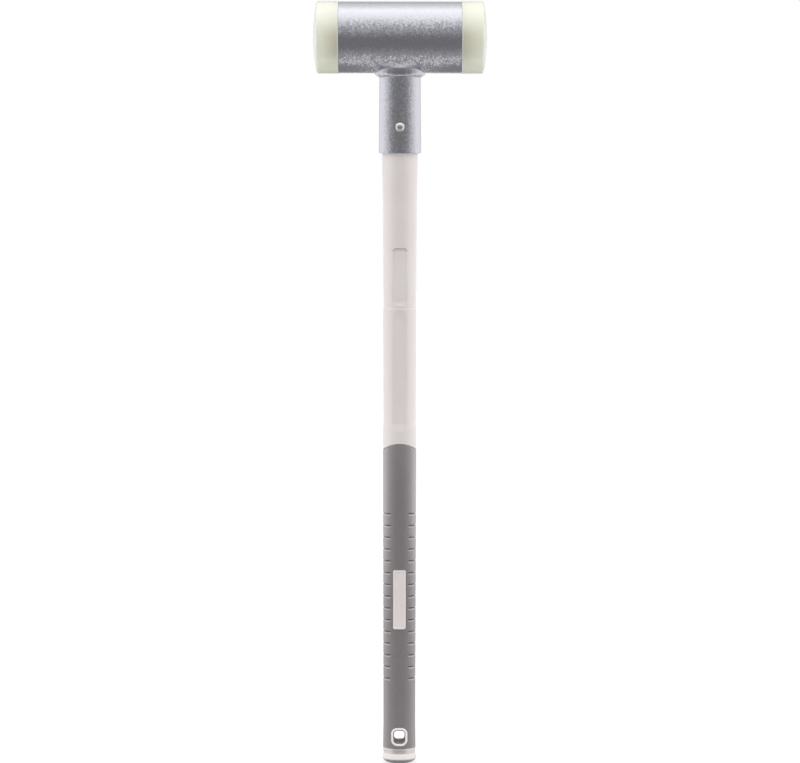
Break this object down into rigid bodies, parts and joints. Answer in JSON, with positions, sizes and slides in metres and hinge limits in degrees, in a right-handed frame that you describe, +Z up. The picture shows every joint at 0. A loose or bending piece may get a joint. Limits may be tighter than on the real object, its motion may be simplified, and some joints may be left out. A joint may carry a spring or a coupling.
{
  "type": "dead blow sledgehammer",
  "caption": "Long two-handed dead blow hammer: steel tube head with shot inside, crowned plastic striking faces, round neck and oval handle with a soft grip.",
  "frame": {"origin": "middle of the flat butt, under the handle's axis", "axes": "+Z up the handle to the head, X along the striking axis, -Y the front with the badge"},
  "size_m": [0.192, 0.08, 0.851],
  "materials": {
    "painted_steel": "silver grey metallic paint with a fine hammered grain",
    "bare_steel": "plain bright steel",
    "striking_plastic": "smooth ivory plastic",
    "handle_plastic": "satin pale beige moulding",
    "grip_rubber": "matte warm grey soft moulding",
    "glass_fibre": "amber resin and glass rod"
  },
  "bodies": {
    "hammer": {"head_tube": "painted_steel", "neck_socket": "painted_steel", "weld_collar": "painted_steel", "left_insert": "striking_plastic", "right_insert": "striking_plastic", "left_chamber_disc": "bare_steel", "right_chamber_disc": "bare_steel", "handle_rivet": "bare_steel", "fibreglass_core": "glass_fibre", "handle_sleeve": "handle_plastic", "soft_grip": "grip_rubber", "grip_badge": "handle_plastic", "eyelet_front": "handle_plastic", "eyelet_rear": "handle_plastic", "butt_cap": "handle_plastic"},
    "shot": {"steel_shot": "bare_steel"}
  },
  "joints": [
    {"name": "shot_slide", "type": "slide", "parent": "hammer", "child": "shot", "axis": [1, 0, 0], "range_m": [-0.012, 0.012]}
  ]
}
